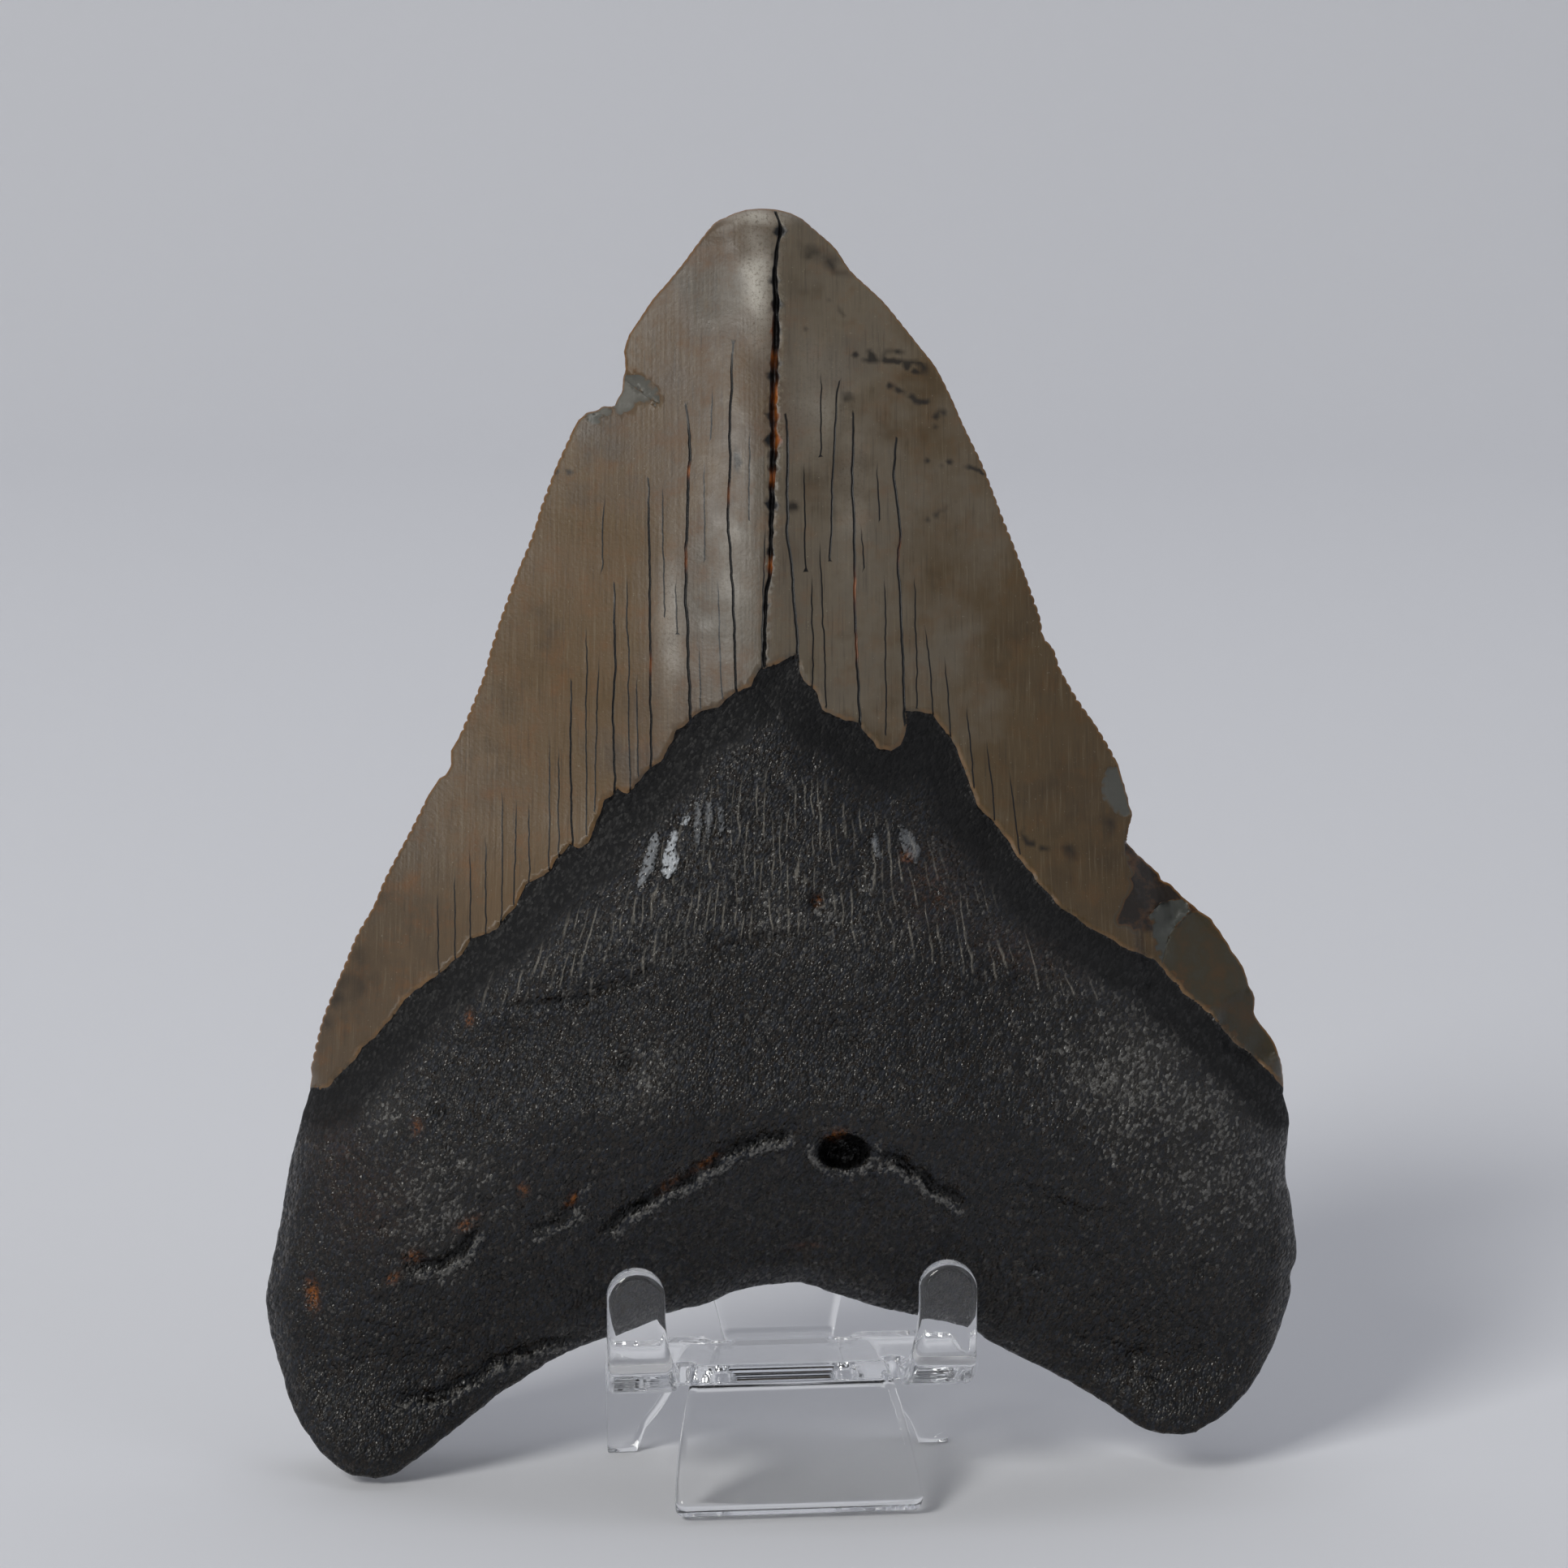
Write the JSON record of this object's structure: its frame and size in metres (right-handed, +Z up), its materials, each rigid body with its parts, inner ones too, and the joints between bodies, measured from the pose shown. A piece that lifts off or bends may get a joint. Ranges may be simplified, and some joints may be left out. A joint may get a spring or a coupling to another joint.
{
  "type": "fossil megalodon tooth on display stand",
  "caption": "Large fossil shark tooth with serrated enamel crown, dark bourlette and bilobed root, leaning upright on a small clear bent acrylic stand.",
  "frame": {"origin": "centre of the whole object's footprint box, on the surface it stands on", "axes": "+Z up, +X to the tooth's right seen from its lingual face, the lingual face looks towards -Y"},
  "size_m": [0.0896, 0.0342, 0.1083],
  "materials": {
    "fossil_tooth": "worn glossy enamel crown in brown and tan over black, matt, finely pitted root",
    "clear_acrylic": "clear, flame-polished edges"
  },
  "bodies": {
    "root": {"tooth": "fossil_tooth", "display_stand": "clear_acrylic"}
  },
  "joints": []
}
